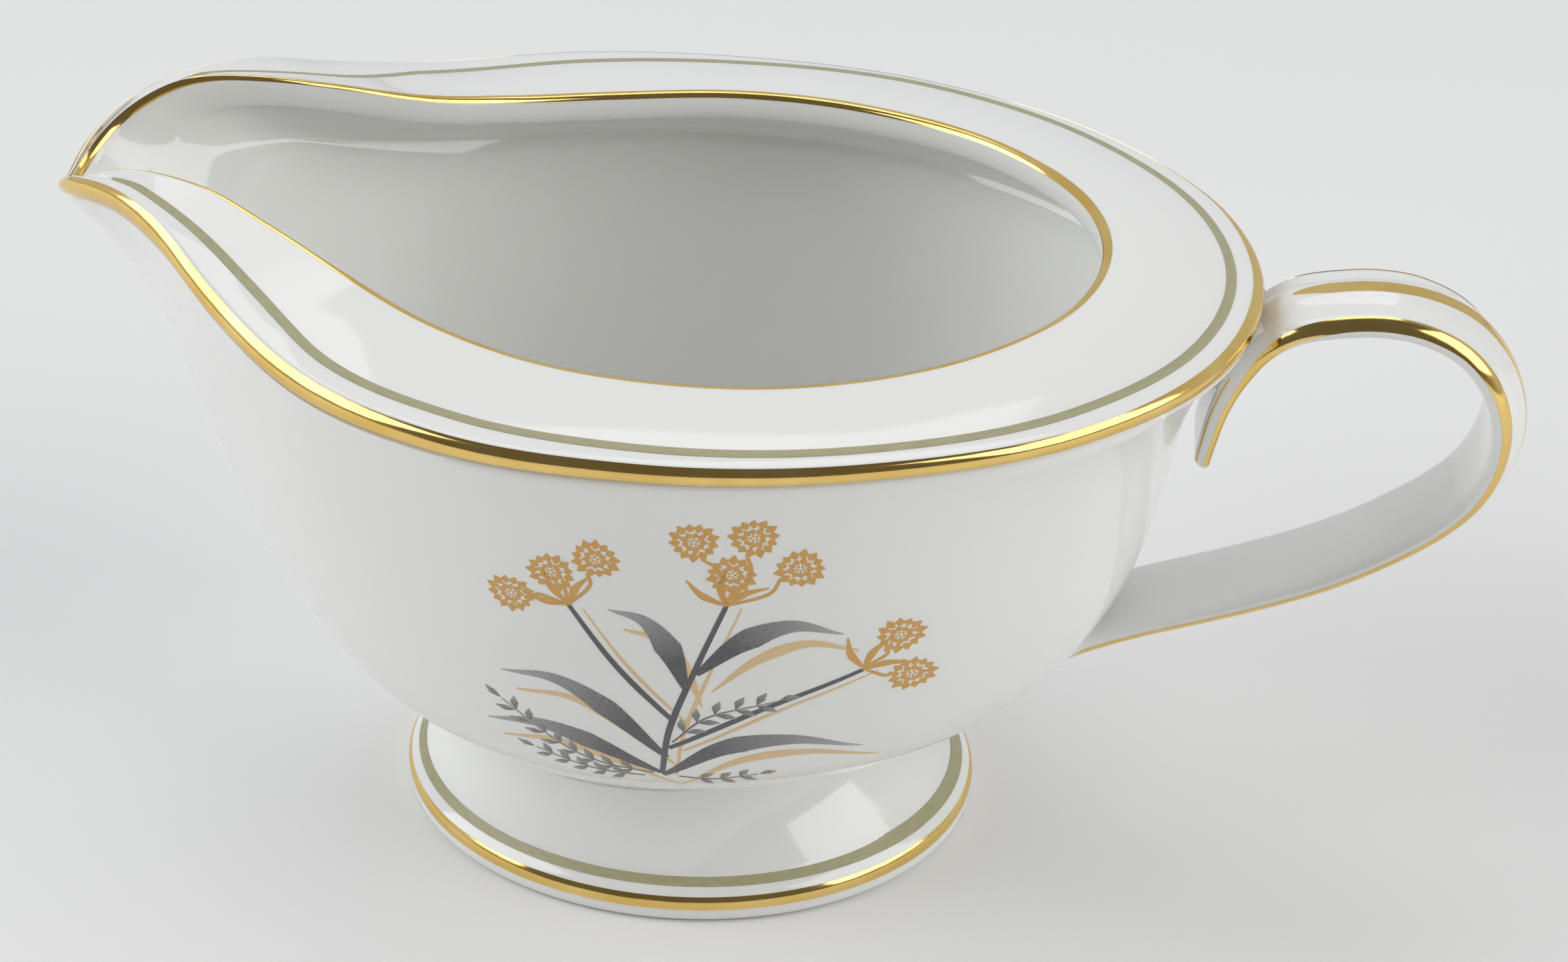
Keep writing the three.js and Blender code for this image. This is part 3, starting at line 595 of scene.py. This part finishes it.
def flared(rows, centres, radius):
    """Section points spread out close to the wall, so that the root runs into it with a hollow curve."""
    out = rows.copy()
    for i, row in enumerate(rows):
        for j, p in enumerate(row):
            place, normal = wall_tree.find_nearest(Vector(p))[:2]
            depth = (Vector(p) - place).dot(normal)
            if depth < radius:
                near = min(1.0, 1 - depth / radius)
                push = radius * (1 - math.sqrt(1 - near * near))
                away = Vector(p) - Vector(centres[i])
                away -= normal * away.dot(normal)
                if away.length > 1e-6:
                    out[i, j] = np.array(Vector(p) + away.normalized() * push)
    return out


def strap_rows(shares):
    at = np.arange(0, 20, 0.4)
    return np.stack([on_strap(t, strap_section(t, at)) for t in shares])


shares = np.concatenate([[0, 0.0012, 0.004], np.linspace(0.008, 1, 230)])
strap = strap_rows(shares)
# The spur's tip is rounded off over its first two sections.
for i, keep in ((0, 0.80), (1, 0.94)):
    middle = strap[i].mean(axis=0)
    strap[i] = middle + (strap[i] - middle) * (1, 1, keep) * (keep, 1 - (1 - keep) * 0.3, 1)
centres = np.stack([on_strap(t, np.zeros((1, 2)))[0] for t in shares])
lower = shares > 0.8
strap[lower] = flared(strap[lower], centres[lower], 1.9)
rows, columns = strap.shape[:2]
strap_faces = ribbon_faces(rows, columns, False, True)
strap_faces += [tuple(range(columns)), tuple(range((rows - 1) * columns, rows * columns))]
piece("handle_strap", strap.reshape(-1, 3), strap_faces, GLAZE,
      ["handle_casting", "handle_lower_slip_joint"], sharp=60)

block_x, block_z = np.array(ROOT_BLOCK).T
block_rows = np.stack([points(block_x, y, block_z) for y in (-4.2, 4.2)])
count = len(ROOT_BLOCK)
block = piece("handle_upper_root", block_rows.reshape(-1, 3),
              ribbon_faces(2, count, False, True) + [tuple(range(count)), tuple(range(count, 2 * count))],
              GLAZE, ["handle_upper_slip_joint"])
rounding = block.modifiers.new("rounding", "BEVEL")
rounding.width, rounding.segments, rounding.limit_method = 0.0009, 4, "ANGLE"

# ---- gilding and olive bands ----
c = collar(angles)


def film(name, grid_of, closed, along, material, replaced):
    """A fired-on band; grid_of gives its surface raised or lowered by a lift."""
    vertices, faces, uv = shell(grid_of(LIFT), grid_of(-SINK), closed, along)
    piece(name, vertices, faces, material, replaced, uv=uv)


def edge_grid(lift):
    """Gold on the rolled edge, which reaches further over the roll beside the handle."""
    low, high = -66, 60 + 28 * np.clip((32 - np.abs(angles)) / 26, 0, 1)[:, None]
    return c["roll"](low + (high - low) * np.linspace(0, 1, 15), lift)


def olive_grid(lift):
    """The olive line on the collar, which fades out on both sides of the spout."""
    limit = 169.5
    kept = angles[np.abs(angles) <= limit]
    s = collar(kept)
    half = np.minimum(OLIVE["half"], 0.14 * s["width"])
    fade = np.clip((limit - np.abs(kept))[:, None] / 3.0, 0.12, 1) ** 0.5
    inset = s["olive"] + half * fade * np.linspace(-1, 1, 7)[None, :]
    return s["at"](inset, s["shoulder_rise"](inset) + lift)


def crest_grid(lift):
    """The gold line over the collar's inner crest."""
    insets, rises = crest_section(c)
    line = np.stack([spline(np.stack([insets[i], rises[i]], axis=1), 9) for i in range(len(angles))])
    step = np.gradient(line, axis=1)
    step /= np.linalg.norm(step, axis=2, keepdims=True)
    line = (line + np.stack([-step[..., 1], step[..., 0]], axis=-1) * lift)[:, :7]
    return c["at"](line[..., 0], line[..., 1])


def tip_grid(lift):
    """Gold over the whole of the spout's tip, between the rolled edge and the crest line."""
    tip = angles[np.abs(angles) >= 174.5]
    tip = np.concatenate([tip[tip > 0], tip[tip < 0]])
    s = collar(tip)
    inset = s["bead"] + (s["width"] - 0.25 - s["bead"]) * np.linspace(0, 1, 6)[None, :]
    round_rise = np.sqrt(np.maximum(0, s["bead"] ** 2 - (s["bead"] - inset) ** 2))
    return s["at"](inset, np.maximum(s["shoulder_rise"](inset), round_rise) + lift)


film("gilding_rim_edge", edge_grid, True, 60.0, GOLD, ["gilt_rim_edge"])
film("olive_band_collar", olive_grid, False, 60.0, OLIVE_COLOUR, ["olive_collar_band"])
film("gilding_rim_crest", crest_grid, True, 60.0, GOLD, ["gilt_rim_crest"])
film("gilding_spout_tip", tip_grid, False, 4.0, GOLD, [])


def foot_band(rows):
    """Surface of a band round the foot, given by insets and heights."""
    line = spline(np.array(rows, float), 9)
    step = np.gradient(line, axis=0)
    step /= np.linalg.norm(step, axis=1, keepdims=True)

    def grid_of(lift):
        moved = line - np.stack([step[:, 1], -step[:, 0]], axis=1) * lift
        return np.stack([foot_point(FOOT_ANGLES, inset, z) for inset, z in moved], axis=1)
    return grid_of


film("gilding_foot_edge", foot_band(FOOT_GOLD), True, 40.0, GOLD, ["gilt_foot_edge"])
film("olive_band_foot", foot_band(FOOT_OLIVE), True, 40.0, OLIVE_COLOUR, ["olive_foot_band"])


def strap_line(start, end, limits):
    """Surface of a line along the strap; limits gives its two sides in section steps at each share."""
    run = np.linspace(start, end, 190)

    def grid_of(lift):
        return np.stack([on_strap(t, strap_section(t, np.linspace(*limits(t), 9)), -lift) for t in run])
    return grid_of


def stripe_limits(t):
    """Sides of the centre stripe, which is round at its start and tapers to its end."""
    begin, finish = STRIPE
    width = min(1, max(0.03, (t - begin) / 0.03)) ** 0.5 * min(1, max(0.03, (finish - t) / 0.16)) ** 0.6
    return -width, width


def edge_limits(side):
    """Sides of the gold line at one edge of the strap: under the edge on the spur, over it on the loop."""
    def limits(t):
        drift = min(1, max(0, (t - 0.08) / 0.16))
        drift = drift * drift * (3 - 2 * drift)
        low, high = 6.15 - 1.8 * drift, 7.45 - 1.5 * drift
        return side * low, side * high
    return limits


for name, line, replaced in (
        ("gilding_handle_stripe", strap_line(*STRIPE, stripe_limits), ["gilt_handle_stripe"]),
        ("gilding_handle_near", strap_line(0.004, 0.965, edge_limits(1)), ["gilt_handle_near_edge"]),
        ("gilding_handle_far", strap_line(0.004, 0.965, edge_limits(-1)), ["gilt_handle_far_edge"]),
        ("gilding_spur_near", strap_line(0.004, 0.1, lambda t: (4.7, 5.0)), []),
        ("gilding_spur_far", strap_line(0.004, 0.1, lambda t: (-5.0, -4.7)), [])):
    film(name, line, False, 40.0, GOLD, replaced)


# ---- printed spray on the near wall ----
def on_wall(x, z, lift):
    """Places points given by x along the jug and z above its base on the near wall."""
    x, z = np.asarray(x, float), np.asarray(z, float)
    angle = np.full(x.shape, -90.0)
    for _ in range(14):
        height = edge_height(angle) - UNDER_ROLL["down"] - WAIST["z"]
        share = np.clip((z - WAIST["z"]) / height, 0.004, 0.99)
        here = wall_point(angle, share, lift)
        miss = np.degrees((x - here[..., 0]) / np.hypot(here[..., 0], here[..., 1]))
        angle = np.clip(angle + miss, -175, -5)
    return wall_point(angle, share, lift)


def patch(line, widths, steps=22, across=5, lift=LIFT):
    """A leaf, petal or stem along a bent line, with its width given at even steps."""
    middle = spline(line, steps)
    along = np.gradient(middle, axis=0)
    along /= np.linalg.norm(along, axis=1, keepdims=True)
    width = spline(np.array(widths, float)[:, None], steps)[:, 0].clip(0.02) / 2
    side = np.linspace(-1, 1, across)
    x = middle[:, 0, None] - along[:, 1, None] * width[:, None] * side
    z = middle[:, 1, None] + along[:, 0, None] * width[:, None] * side
    return shell(on_wall(x, z, lift), on_wall(x, z, -SINK))


def printed(name, patches, material, replaced):
    vertices, faces, uv = joined(patches)
    return piece(name, vertices, faces, material, replaced, uv=uv)


def turned(cx, cz, angle, line):
    """A line drawn from the origin, turned and then moved to a place on the wall."""
    run, rise = math.cos(angle), math.sin(angle)
    return [(cx + run * x - rise * z, cz + rise * x + run * z) for x, z in line]


def bloom(cx, cz, radius, facing):
    """A round head of pointed petals in two rings about a dotted centre, turned by facing."""
    patches = []
    for ring, count, start, end, width in ((0, 13, 0.55, 1.0, 0.34), (1, 9, 0.22, 0.56, 0.25)):
        for k in range(count):
            a = 2 * math.pi * (k + 0.5 * ring) / count + facing
            reach = radius * (end + 0.07 * math.sin(3 * a + cx))
            foot = radius * start
            line = turned(cx, cz, a, [(foot, 0), ((foot + reach) / 2, 0.04), (reach, 0)])
            broad = width * radius
            patches.append(patch(line, [0.3 * width * radius, broad * 1.15, broad, 0.05], 9, 3))
    for k in range(5):
        a = 2 * math.pi * k / 5 + facing
        line = turned(cx, cz, a, [(radius * 0.07, 0), (radius * 0.19, 0)])
        patches.append(patch(line, [0.1, 0.3, 0.1], 6, 3))
    return patches


STEM_WIDTHS = [0.6, 0.72, 0.66, 0.5]
STEMS = {
    "main": [(1.5, 25), (2.9, 34), (6, 44), (9.2, 53)],
    "left": [(3.4, 35.2), (-2.2, 43.6), (-6.6, 51.5)],
    "right": [(2.6, 30.4), (12.3, 37.4), (22.5, 42.8)],
}
BLADE_WIDTHS = [0.6, 2.2, 2.9, 2.5, 1.7, 0.9, 0.12]
BLADES = {
    "low_left": [(2.3, 28.6), (-3.2, 36.2), (-8.6, 40), (-14.6, 39.6)],
    "low_right": [(1.6, 24.6), (8.2, 30.6), (15.4, 32), (22.4, 29.4)],
    "mid_left": [(4.9, 40.4), (3.4, 46.4), (1, 50.4), (-2.6, 51.6)],
    "mid_right": [(6.0, 43.0), (10.6, 47.8), (15.6, 50), (20.6, 48.4)],
    "outer_left": [(1.4, 25.2), (-5.2, 29.9), (-11, 31.8), (-17, 30.4)],
}
BLOOMS = [(9.8, 57.2), (6.2, 61.4), (12, 62), (16.4, 57.8), (-8.2, 55.6), (-3.6, 58.2), (-12.6, 51.6),
          (26.2, 47.2), (27.4, 41)]
BLOOM_RADIUS = 2.5
# Where each stem's stalks part, and the flower heads that they carry.
CLUSTERS = [((9, 53), BLOOMS[0:4]), ((-6.6, 51.5), BLOOMS[4:7]), ((22.5, 43), BLOOMS[7:9])]

for name, line in STEMS.items():
    stem = patch(line, STEM_WIDTHS, 30, 3)
    printed(f"spray_stem_{name}", [stem], INK, [f"print_stem_{name}"])
for name, line in BLADES.items():
    leaf = patch(line, BLADE_WIDTHS, 34, 7)
    printed(f"spray_leaf_{name}", [leaf], CHARCOAL, [f"print_leaf_{name}"])
# Pale second strokes beside the leaves and stems, set lower so that the dark ones cover them.
shadows = []
for lines, widths, drop, across in (
        (BLADES, [0.2, 1.1, 1.5, 1.1, 0.3], 2.6, 5),
        (STEMS, [0.3, 0.5, 0.45, 0.2], 0.4, 3)):
    for line in lines.values():
        shadows.append(patch([(x + 1.5, z - drop) for x, z in line], widths, 26, across, 0.5 * LIFT))
printed("spray_shadow_leaves", shadows, TAN, [])
for k, (x, z) in enumerate(BLOOMS):
    petals = bloom(x, z, BLOOM_RADIUS, 0.3 * k)
    printed(f"spray_bloom_{k + 1}", petals, OCHRE, [f"print_bloom_{k + 1}"])
stalks = []
for (x0, z0), heads in CLUSTERS:
    for x1, z1 in heads:
        bend = ((x0 + x1) / 2 + 0.12 * (z1 - z0), (z0 + z1) / 2 - 0.12 * (x1 - x0))
        short = 1 - BLOOM_RADIUS * 0.9 / math.hypot(x1 - x0, z1 - z0)
        end = (x0 + (x1 - x0) * short, z0 + (z1 - z0) * short)
        stalks.append(patch([(x0, z0), bend, end], [0.3, 0.42, 0.34], 14, 3))
    for turn in (-0.9, 0.1, 1.0):
        lean = math.atan2(heads[0][1] - z0, heads[0][0] - x0) + turn
        line = turned(x0, z0, lean, [(0.3, 0), (2.6, 0.5), (5.0, 0.1)])
        stalks.append(patch(line, [0.4, 0.85, 0.75, 0.15], 16, 5))
printed("spray_stalks", stalks, OCHRE, [])


def sprig(line, leaves, size):
    """A fine stalk with small oval leaves in pairs and one at its end."""
    patches = [patch(line, [0.22, 0.26, 0.18], 24, 3)]
    middle = spline(line, leaves + 2)
    along = np.gradient(middle, axis=0)
    for k in range(1, leaves + 2):
        heading = math.atan2(along[k, 1], along[k, 0])
        for side in ((-0.75, 0.75) if k <= leaves else (0.0,)):
            leaf = [(0.25, 0), (0.25 + size / 2, 0.1), (0.25 + size, 0)]
            shape = turned(middle[k, 0], middle[k, 1], heading + side, leaf)
            patches.append(patch(shape, [0.1, 0.8, 0.9, 0.1], 10, 5))
    return patches


sprigs = sprig([(0.6, 25.0), (-7, 27.2), (-15, 34.6)], 8, 2.1)
sprigs += sprig([(-0.4, 24.2), (-6, 24.6), (-12, 26.8)], 5, 1.9)
sprigs += sprig([(3.0, 31.5), (7, 36.2), (14, 38.8)], 5, 2.1)
sprigs += sprig([(3.2, 24.4), (7.0, 23.9), (11.5, 24.9)], 3, 1.8)
printed("spray_sprigs", sprigs, GREY, [])

# ---- floor, light and camera ----
mesh = bpy.data.meshes.new("floor")
mesh.from_pydata([(-3, -3, 0), (3, -3, 0), (3, 3, 0), (-3, 3, 0)], [], [(0, 1, 2, 3)])
floor = bpy.data.objects.new("floor", mesh)
bpy.context.scene.collection.objects.link(floor)
paper, tree, shader = nodes_of("floor_paper")
place = tree.nodes.new("ShaderNodeTexCoord").outputs["Object"]
tone = ramp(tree, noise(tree, place, 6), (0.3, (0.86, 0.86, 0.855)), (0.7, (0.875, 0.875, 0.87)))
tree.links.new(tone, shader.inputs["Base Color"])
shader.inputs["Roughness"].default_value = 0.7
bumped(tree, shader, noise(tree, place, 900, 4), 0.12, 0.0002)
floor.data.materials.append(paper)


def softbox(name, place, size, power, colour=(1, 1, 1)):
    """A rectangular soft light turned towards the middle of the jug, in metres and watts."""
    data = bpy.data.lights.new(name, "AREA")
    data.shape = "RECTANGLE"
    data.size, data.size_y = size
    data.energy, data.color = power, colour
    aim = Vector((0, 0, 0.03))
    lamp = bpy.data.objects.new(name, data)
    lamp.location = place
    lamp.rotation_euler = (aim - Vector(place)).to_track_quat("-Z", "Y").to_euler()
    bpy.context.scene.collection.objects.link(lamp)


softbox("key_left", (-1.0, -0.3, 0.7), (0.9, 0.9), 7.9, (0.97, 0.985, 1.0))
softbox("key_right", (1.0, -0.3, 0.7), (1.0, 1.0), 7.9, (1.0, 0.99, 0.975))
softbox("overhead", (-0.1, 0.5, 1.25), (0.9, 0.6), 2.4)
world = bpy.data.worlds.new("studio")
bpy.context.scene.world = world
bpy.context.scene.view_settings.view_transform = "Standard"
world.use_nodes = True
# The room is pale behind the jug and dimmer in front of it, where the glaze and gold mirror it.
place = world.node_tree.nodes.new("ShaderNodeTexCoord").outputs["Generated"]
front = world.node_tree.nodes.new("ShaderNodeVectorMath")
front.operation = "DOT_PRODUCT"
front.inputs[1].default_value = (0.1, -0.80, 0.59)
world.node_tree.links.new(place, front.inputs[0])
room = ramp(world.node_tree, front.outputs["Value"], (0.1, (0.93, 0.96, 1.0)), (0.6, (0.22, 0.21, 0.20)))
world.node_tree.links.new(room, world.node_tree.nodes["Background"].inputs["Color"])
world.node_tree.nodes["Background"].inputs["Strength"].default_value = 0.62


def camera():
    """A long lens, a little right of the jug's middle and well above it."""
    azimuth, elevation, roll = (math.radians(v) for v in (6.11, 32.74, -1.21))
    stand = Vector((42.35, -301.3, 235.5))  # millimetres about the centre of the foot
    back = Vector((math.sin(azimuth) * math.cos(elevation), -math.cos(azimuth) * math.cos(elevation),
                   math.sin(elevation)))
    right = Vector((math.cos(azimuth), math.sin(azimuth), 0))
    up = back.cross(right)
    right, up = (right * math.cos(roll) - up * math.sin(roll), right * math.sin(roll) + up * math.cos(roll))
    data = bpy.data.cameras.new("camera")
    data.sensor_width, data.lens = 36.0, 74.2
    data.clip_start, data.clip_end = 0.01, 20
    made = bpy.data.objects.new("camera", data)
    bpy.context.scene.collection.objects.link(made)
    turn = Matrix((right, up, back)).transposed().to_4x4()
    made.matrix_world = Matrix.Translation((stand + Vector(ORIGIN)) * 0.001) @ turn
    bpy.context.scene.camera = made


camera()
